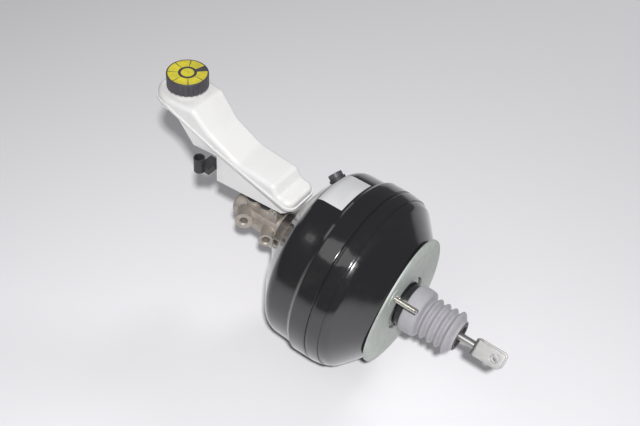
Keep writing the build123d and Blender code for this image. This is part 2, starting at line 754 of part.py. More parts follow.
def secondary_piston():
    places = cup_places(SECONDARY_FRONT_X, SECONDARY_REAR_X)
    return piston(SECONDARY_FRONT_X, SECONDARY_REAR_X, places, 0)


def primary_cups():
    return cups(cup_places(PRIMARY_FRONT_X, PISTON_START_X))


def secondary_cups():
    return cups(cup_places(SECONDARY_FRONT_X, SECONDARY_REAR_X))


def primary_spring():
    return coil(SECONDARY_REAR_X, PRIMARY_FRONT_X + POCKET_DEPTH, POCKET_R - 2, SMALL_WIRE, 4)


def secondary_spring():
    return coil(BORE_FRONT_X, SECONDARY_FRONT_X + POCKET_DEPTH, POCKET_R - 2, SMALL_WIRE, 4)


def feed_grommets():
    rings = []
    for feed in FEED_X:
        base = (feed, 0, FEED_TOP_Z - GROMMET_DEPTH)
        grommet = round_bar(base, (0, 0, 1), GROMMET_DEPTH, GROMMET_R)
        grommet += round_bar((feed, 0, FEED_TOP_Z), (0, 0, 1), GROMMET_LIP_T, GROMMET_LIP_R)
        rings.append(grommet - round_bar(base, (0, 0, 1), 2 * GROMMET_DEPTH, NIPPLE_R))
    return Compound(children=rings)


# ---- Reservoir ----
def tank_plan(inset, waist, tail):
    """Outline seen from above: round head under the cap, waist and square tail."""
    corners = [(HEAD_FRONT_X + inset, HEAD_R - inset), (HEAD_REAR_X, HEAD_R - inset)]
    corners += [(WAIST_X, waist - inset), (tail[0] - inset, tail[1] - inset)]
    corners += [(x, -y) for x, y in reversed(corners)]
    bends = [HEAD_R - inset - 0.5, 60, 60, TAIL_CORNER_R - inset]
    return make_face(FilletPolyline(*corners, radius=bends + bends[::-1], close=True))


def tank_block(inset, plan, face):
    """Block of the plan's outline cut to a side profile, both moved in by the inset."""
    side = offset(face, -inset) if inset > 0 else face
    return extrude(plan, CAP_TOP_Z, dir=(0, 0, 1)) & extrude(Plane.XZ * side, 2 * HEAD_R, both=True)


def seam_line(lift, rear=LID_TAIL[0] + HEAD_R):
    front = HEAD_FRONT_X - HEAD_R
    return [(x, seam_z(x) + lift) for x in (front, SEAM_LEVEL[0], SEAM_KNEE[0], rear)]


def lid_profile(drop):
    """Side view of the lid from its crown down to a drop below the seam."""
    base = seam_line(-drop)
    front, rear = base[0][0], base[-1][0]
    crown = [(front, HEAD_TOP[1]), HEAD_TOP, CROWN_KNEE, DECK_FRONT]
    crown += [DECK_REAR, STEP_FOOT, (rear, TAIL_TOP_Z)]
    top = FilletPolyline(*crown, radius=[12, 40, 30, 9, 6])
    return make_face(top.edges() + Polyline(crown[-1], *reversed(base), crown[0]).edges())


def tub_profile(rise):
    """Side view of the tub from a rise above the seam down to its floor and chin."""
    top = seam_line(rise, RAMP_TOP[0])
    under = [RAMP_TOP, (RAMP_FOOT_X, FLOOR_Z), (SENSOR_WALL_X, FLOOR_Z), (SENSOR_WALL_X, UNDERSIDE_Z)]
    under += [CHIN_LOW, CHIN_HIGH, (top[0][0], CHIN_HIGH[1] + 4)]
    return make_face(Polyline(*top, *under, close=True))


def seam_lip(low, high):
    plan = tank_plan(-SEAM_LIP, LID_WAIST, LID_TAIL)
    band = make_face(Polyline(*seam_line(low), *reversed(seam_line(high)), close=True))
    return tank_block(0, plan, band)


def rounded_lid(inset, drop):
    """Block of the lid with its top rim rounded."""
    lid = tank_block(inset, tank_plan(inset, LID_WAIST, LID_TAIL), lid_profile(drop))
    walls = [face for face in lid.faces() if abs(face.normal_at().Z) < 0.01]
    edges = [edge for wall in walls for edge in wall.edges() if abs(edge.tangent_at(0).Z) < 0.95]
    return fillet([e for e in edges if e.center().Z > seam_z(e.center().X) + 3], EDGE_R - inset)


def reservoir_upper():
    shell = rounded_lid(0, 0) + seam_lip(0, SEAM_LIP_T / 2)
    shell += round_bar((CAP_X, 0, HEAD_TOP[1] - 1), (0, 0, 1), NECK_TOP_Z - HEAD_TOP[1] + 1, NECK_R)
    shell -= rounded_lid(WALL, 2 * WALL)
    return shell - round_bar((CAP_X, 0, HEAD_TOP[1] - 2 * WALL), (0, 0, 1), 40, NECK_BORE_R)


def reservoir_lower():
    shell = tank_block(0, tank_plan(0, TUB_WAIST, TUB_TAIL), tub_profile(0))
    shell += seam_lip(-SEAM_LIP_T / 2, 0)
    for feed in FEED_X:
        nipple_low = FEED_TOP_Z - GROMMET_DEPTH + 1
        shell += round_bar((feed, 0, nipple_low), (0, 0, 1), FLOOR_Z - nipple_low + 1, NIPPLE_R)
    tab_half = TIE_TAB_T / 2
    tab_low = TIE_PIN_Z - TIE_LUG_R + 1
    shell += slab(TIE_PIN_X - 6, TIE_PIN_X + 6, -tab_half, tab_half, tab_low, FLOOR_Z + 1)
    shell -= tank_block(WALL, tank_plan(WALL, TUB_WAIST, TUB_TAIL), tub_profile(2 * WALL))
    for feed in FEED_X:
        shell -= round_bar((feed, 0, 0), (0, 0, 1), FLOOR_Z + 2 * WALL, NIPPLE_BORE_R)
    shell -= round_bar((TIE_PIN_X, -30, TIE_PIN_Z), (0, 1, 0), 60, TIE_PIN_R)
    shell -= round_bar((SENSOR_WALL_X - 5, SENSOR_Y, SENSOR_Z), (1, 0, 0), 5 + SENSOR_SEAT, SENSOR_R)
    post_low = FLOOR_Z + WALL / 2
    return shell + round_bar((FLOAT_X, 0, post_low), (0, 0, 1), FLOAT_POST_TOP_Z - post_low, FLOAT_POST_R)


def reservoir_pin():
    half = TIE_TAB_T / 2 + TAB_CLEAR + TIE_LUG_T
    pin = round_bar((TIE_PIN_X, -half, TIE_PIN_Z), (0, 1, 0), 2 * half + 3, TIE_PIN_R)
    return pin + round_bar((TIE_PIN_X, -half - 2.5, TIE_PIN_Z), (0, 1, 0), 2.5, TIE_PIN_HEAD_R)


def filler_cap():
    cap = round_bar((CAP_X, 0, CAP_BOTTOM_Z), (0, 0, 1), CAP_TOP_Z - CAP_BOTTOM_Z, CAP_R)
    cap = fillet(cap.edges().sort_by(Axis.Z)[-1], 1.5)
    cap -= round_bar((CAP_X, 0, CAP_TOP_Z - CAP_RECESS), (0, 0, 1), 2 * CAP_RECESS, CAP_R - CAP_RIM_W)
    bore_low = CAP_BOTTOM_Z - 1
    bore_depth = CAP_TOP_Z - CAP_WALL - bore_low
    cap -= round_bar((CAP_X, 0, bore_low), (0, 0, 1), bore_depth, NECK_R + CAP_RUN)
    boss_low = NECK_TOP_Z + CAP_SEAL_T + CAP_RUN
    cap += round_bar((CAP_X, 0, boss_low), (0, 0, 1), CAP_TOP_Z - boss_low - 1, NECK_BORE_R)
    for index in range(CAP_LOBES):
        angle = radians(index * 360 / CAP_LOBES)
        x = CAP_X + (CAP_R + 0.6) * cos(angle)
        y = (CAP_R + 0.6) * sin(angle)
        cap -= round_bar((x, y, CAP_BOTTOM_Z - 1), (0, 0, 1), CAP_TOP_Z - CAP_BOTTOM_Z - 2, 1.5)
    return cap


def cap_seal():
    seal = round_bar((CAP_X, 0, NECK_TOP_Z), (0, 0, 1), CAP_SEAL_T, NECK_R)
    return seal + round_bar((CAP_X, 0, NECK_TOP_Z - 3), (0, 0, 1), 3, NECK_BORE_R - CAP_RUN)


def level_float():
    base = FLOOR_Z + WALL + 0.3
    body = round_bar((FLOAT_X, 0, base), (0, 0, 1), FLOAT_H, FLOAT_R)
    return body - round_bar((FLOAT_X, 0, base - 1), (0, 0, 1), FLOAT_H + 2, FLOAT_POST_R + 0.3)


def level_sensor():
    probe_low = SENSOR_WALL_X - 8
    sensor = round_bar((probe_low, SENSOR_Y, SENSOR_Z), (1, 0, 0), 8 + SENSOR_SEAT, SENSOR_R)
    sensor += round_bar((probe_low, SENSOR_Y, SENSOR_Z), (1, 0, 0), SENSOR_LENGTH, SENSOR_PROBE_R)
    sensor += slab(SOCKET_X, probe_low + 6, SOCKET_Y, SENSOR_Y, SENSOR_Z - 5, SENSOR_Z + 6)
    base = (SOCKET_X, SOCKET_Y, SOCKET_TOP_Z - SOCKET_HEIGHT)
    sensor += round_bar(base, (0, 0, 1), SOCKET_HEIGHT, SOCKET_R)
    socket = (SOCKET_X, SOCKET_Y, SOCKET_TOP_Z - SOCKET_DEPTH_Z)
    return sensor - round_bar(socket, (0, 0, 1), SOCKET_DEPTH_Z + 1, SOCKET_BORE_R)


# ---- Vacuum check valve ----
def along_valve(height):
    centre, outward = valve_place()
    return tuple(c + height * o for c, o in zip(centre, outward))


def check_valve_grommet():
    outward = valve_place()[1]
    half = SHEET / 2
    lip = half + GROMMET_BOW
    grommet = round_bar(along_valve(-lip - 3), outward, 2 * lip + 3, GROMMET_WAIST_R)
    grommet += round_bar(along_valve(half), outward, 3.5, GROMMET_FLARE_R)
    grommet += round_bar(along_valve(-lip - 3), outward, 3, GROMMET_FLARE_R - 1)
    return grommet - round_bar(along_valve(-20), outward, 40, VALVE_R)


def check_valve():
    outward = valve_place()[1]
    valve = round_bar(along_valve(-5), outward, VALVE_HEAD_TOP + 4, VALVE_R)
    valve += round_bar(along_valve(VALVE_HEAD_LOW), outward, VALVE_HEAD_TOP - VALVE_HEAD_LOW, VALVE_HEAD_R)
    bore_low = VALVE_HEAD_TOP - VACUUM_BORE_LENGTH
    valve -= round_bar(along_valve(bore_low), outward, VACUUM_BORE_LENGTH + 1, VACUUM_BORE_R)
    return valve - round_bar(along_valve(-7), outward, bore_low + 8, VALVE_PASSAGE_R)


NODES = [
    front_shell,
    rear_shell,
    mounting_plate,
    mounting_studs,
    hub_guide,
    centre_plate,
    centre_seal,
    cylinder_studs,
    cylinder_nuts,
    spring_seat,
    spigot_seal,
    power_spring,
    front_diaphragm,
    rear_diaphragm,
    front_piston_plate,
    rear_piston_plate,
    plate_retainer,
    valve_body,
    reaction_disc,
    output_rod,
    retaining_key,
    poppet_valve,
    valve_retainer,
    air_filter,
    control_plunger,
    operating_rod,
    rod_spring,
    clevis,
    boot,
    cylinder_body,
    piston_stop,
    primary_piston,
    secondary_piston,
    primary_cups,
    secondary_cups,
    primary_spring,
    secondary_spring,
    feed_grommets,
    reservoir_lower,
    reservoir_upper,
    reservoir_pin,
    filler_cap,
    cap_seal,
    level_float,
    level_sensor,
    check_valve_grommet,
    check_valve,
]

os.makedirs("parts", exist_ok=True)
for make in NODES:
    export_step(make(), f"parts/{make.__name__}.step")
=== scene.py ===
"""Dressing of the brake booster: finishes, boot, threads, label, cap top and soft pieces."""

import json
from math import cos, pi, radians, sin

import bmesh
import bpy
from bpy.props import FloatProperty, FloatVectorProperty, IntProperty, PointerProperty
from mathutils import Matrix, Vector
from mathutils.bvhtree import BVHTree

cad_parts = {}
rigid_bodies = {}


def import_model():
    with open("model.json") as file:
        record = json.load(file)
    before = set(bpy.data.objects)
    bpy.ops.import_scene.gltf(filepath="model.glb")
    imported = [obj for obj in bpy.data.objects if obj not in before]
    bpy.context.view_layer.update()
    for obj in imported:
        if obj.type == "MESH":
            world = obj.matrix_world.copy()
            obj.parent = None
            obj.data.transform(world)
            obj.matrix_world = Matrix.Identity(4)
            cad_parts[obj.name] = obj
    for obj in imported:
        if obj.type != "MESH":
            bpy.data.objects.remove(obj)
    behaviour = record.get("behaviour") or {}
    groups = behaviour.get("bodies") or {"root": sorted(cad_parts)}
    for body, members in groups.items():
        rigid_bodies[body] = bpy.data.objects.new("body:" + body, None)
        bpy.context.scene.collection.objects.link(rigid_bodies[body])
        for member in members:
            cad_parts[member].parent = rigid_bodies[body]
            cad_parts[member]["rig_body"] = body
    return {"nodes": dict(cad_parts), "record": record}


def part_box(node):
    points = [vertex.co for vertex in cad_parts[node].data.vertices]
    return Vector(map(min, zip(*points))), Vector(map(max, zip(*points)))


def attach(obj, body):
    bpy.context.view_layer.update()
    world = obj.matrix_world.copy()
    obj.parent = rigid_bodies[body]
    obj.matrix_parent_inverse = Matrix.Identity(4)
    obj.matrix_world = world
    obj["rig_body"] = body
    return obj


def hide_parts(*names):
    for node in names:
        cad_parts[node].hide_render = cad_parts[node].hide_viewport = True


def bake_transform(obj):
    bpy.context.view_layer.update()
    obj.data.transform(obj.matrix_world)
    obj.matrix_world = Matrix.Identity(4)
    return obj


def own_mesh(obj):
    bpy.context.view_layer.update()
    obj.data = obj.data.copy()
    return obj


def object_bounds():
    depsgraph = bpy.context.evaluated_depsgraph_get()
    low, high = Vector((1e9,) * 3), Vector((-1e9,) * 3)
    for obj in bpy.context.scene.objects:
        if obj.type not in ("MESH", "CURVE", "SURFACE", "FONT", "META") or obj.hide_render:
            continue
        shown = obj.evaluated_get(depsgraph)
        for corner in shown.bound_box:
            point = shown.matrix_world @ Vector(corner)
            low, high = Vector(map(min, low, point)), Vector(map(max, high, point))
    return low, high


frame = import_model()
NODES = frame["nodes"]
SLOTS = {part["node"]: part["material_slot"] for part in frame["record"]["subparts"]}
CAD_BOX = [list(corner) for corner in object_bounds()]

bl_info = {
    "name": "Brake booster dressing",
    "version": (1, 0, 0),
    "blender": (4, 5, 0),
    "location": "3D View > Sidebar > Booster",
    "description": "Adds the finishes and the fine pieces of a tandem brake booster",
    "category": "Object",
}

# ---- Sizes in metres ----
MM = 0.001
MERGE_DISTANCE = 0.000002
SEAM_DISTANCE = 0.000004
LABEL_LIFT = 0.00012
PRINT_HEIGHT = 0.00012
CAP_RECESS = 0.0005
FLOOR_GAP = 0.0005
FLOOR_SIZE = 6.0
RAY_START = 0.2

# ---- Boot outline: millimetres along the axis and out from it ----
BOOT_FOOT = ((0.0, 35.0), (1.2, 36.2), (5.0, 36.4))
BOOT_COLLAR = ((6.2, -0.1), (21.5, -0.4))
BOOT_SHOULDER = ((23.5, 34.4), (25.0, 30.0))
FOLD_COUNT = 4
FOLD_START = 27.6
FOLD_PITCH = 12.0
FOLD_PEAK_R = 31.4
LAST_PEAK_R = 33.0
FOLD_VALLEY = ((-1.0, 25.9), (1.2, 25.7))
FOLD_CREST = ((4.6, -0.6), (6.1, 0.0), (7.6, -0.6))
FOLD_BACK = ((10.0, 27.0),)
BOOT_END = ((-7.0, 29.5), (-4.6, 24.6), (-3.0, 23.4), (-0.4, 23.2))
BOOT_BORE_R = 21.15

# ---- Mounting studs in millimetres ----
STUD_CIRCLE_R = 62.5
STUD_HEAD = ((0.0, 0.01), (0.0, 8.1), (0.4, 8.5), (2.5, 8.5), (2.5, 4.8))
STUD_NECK_R = 4.8
STUD_STEPS = 28
THREAD_PITCH = 1.25
THREAD_R = 4.0
THREAD_ROOT_R = 3.4
THREAD_START = 2.0
THREAD_END_GAP = 3.0
CREST_HALF = 0.08
CREST_R = THREAD_R - 0.02
TAIL_R = THREAD_R - 0.3
TIP_R = THREAD_R - 1.2
POLE_R = 0.01

# ---- Label and cap print: millimetres, and degrees about their axes ----
LABEL_X = (-150.5, -110.5)
LABEL_TURN = (-10.0, 21.0)
LABEL_CELLS = (28, 36)
RING_RADII = (13.6, 28.3)
GAP_HALF = 12.0
SEGMENT_GAP = 3.0
SEGMENT_STEPS = 12
DISC_R = 9.5
DISC_STEPS = 48

# ---- Finish of the model's nodes ----
HARD_SLOTS = {
    "zinc_plate",
    "zinc_steel",
    "bright_steel",
    "cast_aluminium",
    "charcoal_plastic",
    "black_nylon",
}
WORN_EDGE_ANGLE = radians(35)
SPLIT_ANGLE = radians(28)
GRAIN_BAND = (0.35, 0.65)
GRIME_EDGE = 0.78
GRIME_FADE = 0.28
FLECK_THRESHOLD = 0.56

# ---- Studio ----
SURROUND_COLOUR = (0.9, 0.91, 0.95, 1)
SURROUND_STRENGTH = 0.13
LAMP_AIM = Vector((-0.12, 0, 0))
LAMPS = (  # name, place, diameter, share of the lamp power
    ("key", (0.5, -0.95, 1.5), 0.1, 1.0),
    ("left", (-0.42, -0.85, 1.46), 0.8, 0.045),
    ("back", (0.2, 2.9, 2.1), 1.2, 1.0),
)
CAMERA_LENS = 50.625
CAMERA_SENSOR = 36.0
CAMERA_FAR = 20.0
CAMERA_RIGHT = Vector((0.79958, 0.59584, 0.07516))
CAMERA_UP = Vector((-0.47400, 0.54927, 0.68820))
CAMERA_PLACE = Vector((0.311828, -0.747854, 0.997138))


# ---- Node trees ----
def link(tree, source, target):
    """Join two sockets of a node tree."""
    tree.links.new(source, target)


def add_node(tree, kind, **values):
    """A shader node, with its inputs set by name and its properties by lower-case name."""
    node = tree.nodes.new(kind)
    for key, value in values.items():
        if key in node.inputs:
            node.inputs[key].default_value = value
        else:
            setattr(node, key, value)
    return node


def effect_group(name, inputs):
    """A new node group with a Vector input and named float inputs, and its two end nodes."""
    group = bpy.data.node_groups.new(name, "ShaderNodeTree")
    group.interface.new_socket("Vector", in_out="INPUT", socket_type="NodeSocketVector")
    for label, default in inputs.items():
        socket = group.interface.new_socket(label, in_out="INPUT", socket_type="NodeSocketFloat")
        socket.default_value = default
    return group, group.nodes.new("NodeGroupInput"), group.nodes.new("NodeGroupOutput")


def grain_group():
    """Fine surface texture: a height for bump and a soft mask of the same noise."""
    group, start, end = effect_group("Fine grain", {"Scale": 900.0, "Stretch": 1.0})
    group.interface.new_socket("Height", in_out="OUTPUT", socket_type="NodeSocketFloat")
    group.interface.new_socket("Mask", in_out="OUTPUT", socket_type="NodeSocketFloat")
    squeeze = add_node(group, "ShaderNodeCombineXYZ", X=1.0, Y=1.0, Z=1.0)
    link(group, start.outputs["Stretch"], squeeze.inputs["X"])
    stretched = add_node(group, "ShaderNodeVectorMath", operation="MULTIPLY")
    link(group, start.outputs["Vector"], stretched.inputs[0])
    link(group, squeeze.outputs[0], stretched.inputs[1])
    noise = add_node(group, "ShaderNodeTexNoise", Detail=4.0, Roughness=0.6)
    link(group, stretched.outputs[0], noise.inputs["Vector"])
    link(group, start.outputs["Scale"], noise.inputs["Scale"])
    soft = add_node(group, "ShaderNodeMapRange")
    soft.inputs["From Min"].default_value, soft.inputs["From Max"].default_value = GRAIN_BAND
    link(group, noise.outputs["Fac"], soft.inputs["Value"])
    link(group, noise.outputs["Fac"], end.inputs["Height"])
    link(group, soft.outputs["Result"], end.inputs["Mask"])
    return group


def grime_group():
    """Broad handling marks and dust: one mask, with its coverage set by the user."""
    group, start, end = effect_group("Grime", {"Scale": 14.0, "Coverage": 0.4})
    group.interface.new_socket("Mask", in_out="OUTPUT", socket_type="NodeSocketFloat")
    broad = add_node(group, "ShaderNodeTexNoise", Detail=5.0, Roughness=0.62, Distortion=0.6)
    fine = add_node(group, "ShaderNodeTexNoise", Scale=160.0, Detail=3.0)
    link(group, start.outputs["Vector"], broad.inputs["Vector"])
    link(group, start.outputs["Vector"], fine.inputs["Vector"])
    link(group, start.outputs["Scale"], broad.inputs["Scale"])
    edge = add_node(group, "ShaderNodeMath", operation="SUBTRACT")
    edge.inputs[0].default_value = GRIME_EDGE
    link(group, start.outputs["Coverage"], edge.inputs[1])
    far = add_node(group, "ShaderNodeMath", operation="ADD")
    far.inputs[1].default_value = GRIME_FADE
    link(group, edge.outputs[0], far.inputs[0])
    patches = add_node(group, "ShaderNodeMapRange")
    link(group, broad.outputs["Fac"], patches.inputs["Value"])
    link(group, edge.outputs[0], patches.inputs["From Min"])
    link(group, far.outputs[0], patches.inputs["From Max"])
    broken = add_node(group, "ShaderNodeMath", operation="MULTIPLY")
    link(group, patches.outputs["Result"], broken.inputs[0])
    link(group, fine.outputs["Fac"], broken.inputs[1])
    link(group, broken.outputs[0], end.inputs["Mask"])
    return group


def speck_group():
    """Scattered small flecks such as dust, chips or spangle: a mask."""
    group, start, end = effect_group("Specks", {"Scale": 260.0, "Size": 0.16})
    group.interface.new_socket("Mask", in_out="OUTPUT", socket_type="NodeSocketFloat")
    cells = add_node(group, "ShaderNodeTexVoronoi", Randomness=1.0)
    link(group, start.outputs["Vector"], cells.inputs["Vector"])
    link(group, start.outputs["Scale"], cells.inputs["Scale"])
    small = add_node(group, "ShaderNodeMath", operation="LESS_THAN")
    link(group, cells.outputs["Distance"], small.inputs[0])
    link(group, start.outputs["Size"], small.inputs[1])
    thin = add_node(group, "ShaderNodeTexNoise", Scale=30.0, Detail=2.0)
    link(group, start.outputs["Vector"], thin.inputs["Vector"])
    few = add_node(group, "ShaderNodeMath", operation="GREATER_THAN")
    few.inputs[1].default_value = FLECK_THRESHOLD
    link(group, thin.outputs["Fac"], few.inputs[0])
    both = add_node(group, "ShaderNodeMath", operation="MULTIPLY")
    link(group, small.outputs[0], both.inputs[0])
    link(group, few.outputs[0], both.inputs[1])
    link(group, both.outputs[0], end.inputs["Mask"])
    return group


def shared_group(name, builder):
    """The group of that name, built the first time that a material asks for it."""
    return bpy.data.node_groups.get(name) or builder()


def placed_group(tree, name, builder, coords, **values):
    """A shared group in a material's tree, with this material's own values."""
    node = tree.nodes.new("ShaderNodeGroup")
    node.node_tree = shared_group(name, builder)
    link(tree, coords, node.inputs["Vector"])
    for key, value in values.items():
        node.inputs[key].default_value = value
    return node


def mixed_colour(tree, mask, under, over):
    """One colour over another where the mask is white; each is a tuple or a socket."""
    mix = tree.nodes.new("ShaderNodeMix")
    mix.data_type = "RGBA"
    for socket, value in ((mix.inputs[6], under), (mix.inputs[7], over)):
        if isinstance(value, tuple):
            socket.default_value = (*value, 1.0)
        else:
            link(tree, value, socket)
    link(tree, mask, mix.inputs[0])
    return mix.outputs[2]


def finish_material(
    name,
    colour,
    worn,
    roughness=(0.3, 0.5),
    metallic=0.0,
    grain=900.0,
    stretch=1.0,
    bump=0.00003,
    grime=0.4,
    speck=0.0,
    speck_colour=(0.6, 0.6, 0.6),
    **shader,
):
    """Principled material with grain in its roughness and bump, and grime and flecks over it."""
    done = bpy.data.materials.get(name)
    if done:
        return done
    made = bpy.data.materials.new(name)
    made.use_nodes = True
    tree = made.node_tree
    surface = tree.nodes["Principled BSDF"]
    coords = add_node(tree, "ShaderNodeTexCoord").outputs["Object"]
    fine = placed_group(tree, "Fine grain", grain_group, coords, Scale=grain, Stretch=stretch)
    marks = placed_group(tree, "Grime", grime_group, coords, Coverage=grime)
    shade = mixed_colour(tree, marks.outputs["Mask"], colour, worn)
    if speck:
        flecks = placed_group(tree, "Specks", speck_group, coords, Size=speck)
        shade = mixed_colour(tree, flecks.outputs["Mask"], shade, speck_colour)
    link(tree, shade, surface.inputs["Base Color"])
    spread = add_node(tree, "ShaderNodeMath", operation="MAXIMUM")
    link(tree, fine.outputs["Mask"], spread.inputs[0])
    link(tree, marks.outputs["Mask"], spread.inputs[1])
    rough = add_node(tree, "ShaderNodeMapRange")
    rough.inputs["To Min"].default_value, rough.inputs["To Max"].default_value = roughness
    link(tree, spread.outputs[0], rough.inputs["Value"])
    link(tree, rough.outputs["Result"], surface.inputs["Roughness"])
    relief = add_node(tree, "ShaderNodeBump", Distance=bump, Strength=1.0)
    link(tree, fine.outputs["Height"], relief.inputs["Height"])
    link(tree, relief.outputs["Normal"], surface.inputs["Normal"])
    surface.inputs["Metallic"].default_value = metallic
    for key, value in shader.items():
        surface.inputs[key.replace("_", " ").title()].default_value = value
    return made


def own_colour(group, key):
    """A colour from the user's settings."""
    return tuple(getattr(getattr(bpy.context.scene, group), key))


FINISHES = {
    "black_paint": lambda: finish_material(
        "Gloss black stove enamel", own_colour("booster_finish", "paint"), (0.03, 0.029, 0.027),
        roughness=(0.1, 0.22), grain=120.0, bump=0.000003, grime=0.2, speck=0.03,
        speck_colour=(0.16, 0.155, 0.15), coat_weight=0.8, coat_roughness=0.06),
    "zinc_plate": lambda: finish_material(
        "Zinc plated sheet", own_colour("booster_finish", "zinc"), (0.36, 0.38, 0.35),
        roughness=(0.42, 0.6), metallic=0.35, grain=120.0, bump=0.00002, grime=0.5),
    "zinc_steel": lambda: finish_material(
        "Zinc plated fixings", (0.62, 0.61, 0.57), (0.36, 0.34, 0.3),
        roughness=(0.28, 0.5), metallic=0.95, grain=700.0, bump=0.00002),
    "bright_steel": lambda: finish_material(
        "Bright turned steel", (0.43, 0.425, 0.42), (0.3, 0.29, 0.27),
        roughness=(0.34, 0.46), metallic=0.85, grain=1400.0, stretch=0.12, bump=0.000004,
        grime=0.2),
    "spring_steel": lambda: finish_material(
        "Oiled spring steel", (0.26, 0.26, 0.27), (0.12, 0.11, 0.1),
        roughness=(0.25, 0.45), metallic=0.9, grain=800.0),
    "pressed_aluminium": lambda: finish_material(
        "Pressed aluminium sheet", (0.72, 0.72, 0.73), (0.5, 0.5, 0.5),
        roughness=(0.3, 0.5), metallic=0.95, grain=500.0),
    "cast_aluminium": lambda: finish_material(
        "Sand blasted cast aluminium", (0.52, 0.475, 0.43), (0.3, 0.27, 0.24),
        roughness=(0.4, 0.62), metallic=0.7, grain=900.0, bump=0.00008, grime=0.5),
    "machined_aluminium": lambda: finish_material(
        "Machined aluminium", (0.78, 0.78, 0.79), (0.6, 0.6, 0.6),
        roughness=(0.2, 0.36), metallic=0.95, grain=1600.0, stretch=0.1),
    "black_rubber": lambda: finish_material(
        "Black rubber", (0.022, 0.022, 0.023), (0.06, 0.058, 0.055),
        roughness=(0.5, 0.75), grain=1500.0, bump=0.00004),
    "grey_rubber": lambda: finish_material(
        "Dusty grey boot rubber", own_colour("booster_boot", "colour"), (0.36, 0.35, 0.37),
        roughness=(0.5, 0.72), grain=1700.0, bump=0.00005, grime=0.5, speck=0.05,
        speck_colour=(0.34, 0.33, 0.34), sheen_weight=0.12),
    "black_nylon": lambda: finish_material(
        "Black moulded nylon", (0.02, 0.02, 0.023), (0.06, 0.058, 0.06),
        roughness=(0.32, 0.5), grain=1100.0, bump=0.00004),
    "black_phenolic": lambda: finish_material(
        "Black phenolic moulding", (0.03, 0.027, 0.025), (0.08, 0.075, 0.07),
        roughness=(0.35, 0.55), grain=1300.0, bump=0.00004),
    "charcoal_plastic": lambda: finish_material(
        "Charcoal moulded plastic", (0.045, 0.042, 0.052), (0.09, 0.085, 0.095),
        roughness=(0.4, 0.58), grain=1300.0, bump=0.00006, grime=0.35),
    "white_plastic": lambda: finish_material(
        "Natural white nylon", own_colour("booster_finish", "tank"), (0.62, 0.61, 0.59),
        roughness=(0.34, 0.46), grain=500.0, bump=0.00002, grime=0.35,
        subsurface_weight=0.15, subsurface_radius=(1.0, 1.0, 0.95), subsurface_scale=0.006),
    "filter_felt": lambda: finish_material(
        "Filter felt", (0.05, 0.05, 0.05), (0.14, 0.13, 0.12),
        roughness=(0.8, 0.95), grain=1800.0, bump=0.0002),
}


# ---- Mesh helpers ----
def finished_piece(name, mesh_maker, body, slot, material=None, smooth=40.0):
    """A new object from a bmesh, with its finish, and on its body unless it blends two."""
    mesh = bpy.data.meshes.new(name)
    mesh_maker.to_mesh(mesh)
    mesh_maker.free()
    piece = bpy.data.objects.new(name, mesh)
    bpy.context.scene.collection.objects.link(piece)
    mesh.materials.append(material or FINISHES[slot]())
    mesh.shade_smooth()
    mesh.set_sharp_from_angle(angle=radians(smooth))
    if body:
        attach(piece, body)
    return piece


def add_modifier(piece, kind, **values):
    """A modifier with its properties set by name."""
    modifier = piece.modifiers.new(kind.title(), kind)
    for key, value in values.items():
        setattr(modifier, key, value)
    return modifier


def profile_points(profile, from_x=0.0, from_r=0.0):
    """Outline points from offsets along the axis and out from it."""
    return [(from_x + x, from_r + r) for x, r in profile]


def outline_wire(shape, points, closed=False):
    """Vertices and edges through (x, radius) points in millimetres, in the plane y = 0."""
    verts = [shape.verts.new((x * MM, 0.0, r * MM)) for x, r in points]
    pairs = list(zip(verts, verts[1:]))
    if closed:
        pairs.append((verts[-1], verts[0]))
    return verts + [shape.edges.new(pair) for pair in pairs]


def turned_mesh(points, steps, closed=False, advance=0.0):
    """Full turn of an (x, radius) outline about the booster axis, with a thread's advance."""
    shape = bmesh.new()
    geometry = outline_wire(shape, points, closed)
    step = Vector((advance * MM / steps, 0.0, 0.0))
    bmesh.ops.spin(
        shape, geom=geometry, cent=(0, 0, 0), axis=(1, 0, 0), dvec=step,
        angle=2 * pi, steps=steps, use_merge=advance == 0.0, use_duplicate=False)
    bmesh.ops.remove_doubles(shape, verts=shape.verts, dist=SEAM_DISTANCE)
    bmesh.ops.recalc_face_normals(shape, faces=shape.faces)
    return shape


def merged_node(name):
    """A bmesh of a CAD node with its loose triangles joined."""
    shape = bmesh.new()
    shape.from_mesh(NODES[name].data)
    bmesh.ops.remove_doubles(shape, verts=shape.verts, dist=MERGE_DISTANCE)
    return shape


def copied_node(name):
    """Merged copy of a CAD node, on the node's body, that stands for that node."""
    piece = finished_piece(name + "_soft", merged_node(name), NODES[name]["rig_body"], SLOTS[name])
    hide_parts(name)
    return piece


# ---- Settings ----
class BoosterFinishSettings(bpy.types.PropertyGroup):
    paint: FloatVectorProperty(
        name="Paint", description="Colour of the housing enamel", subtype="COLOR",
        default=(0.012, 0.012, 0.013), min=0, max=1)
    zinc: FloatVectorProperty(
        name="Zinc", description="Colour of the plated mounting plate", subtype="COLOR",
        default=(0.5, 0.54, 0.51), min=0, max=1)
    tank: FloatVectorProperty(
        name="Reservoir", description="Colour of the natural nylon reservoir", subtype="COLOR",
        default=(0.67, 0.665, 0.66), min=0, max=1)
    edge: FloatProperty(
        name="Edge radius", description="Radius worn on to sharp metal edges", subtype="DISTANCE",
        default=0.0004, min=0, max=0.002)


class BoosterBootSettings(bpy.types.PropertyGroup):
    colour: FloatVectorProperty(
        name="Rubber", description="Colour of the boot", subtype="COLOR",
        default=(0.27, 0.265, 0.29), min=0, max=1)
    wall: FloatProperty(
        name="Wall", description="Thickness of the boot's wall", subtype="DISTANCE",
        default=0.0022, min=0.0005, max=0.004)
    steps: IntProperty(
        name="Steps", description="Faces round the boot", default=64, min=16, max=128)


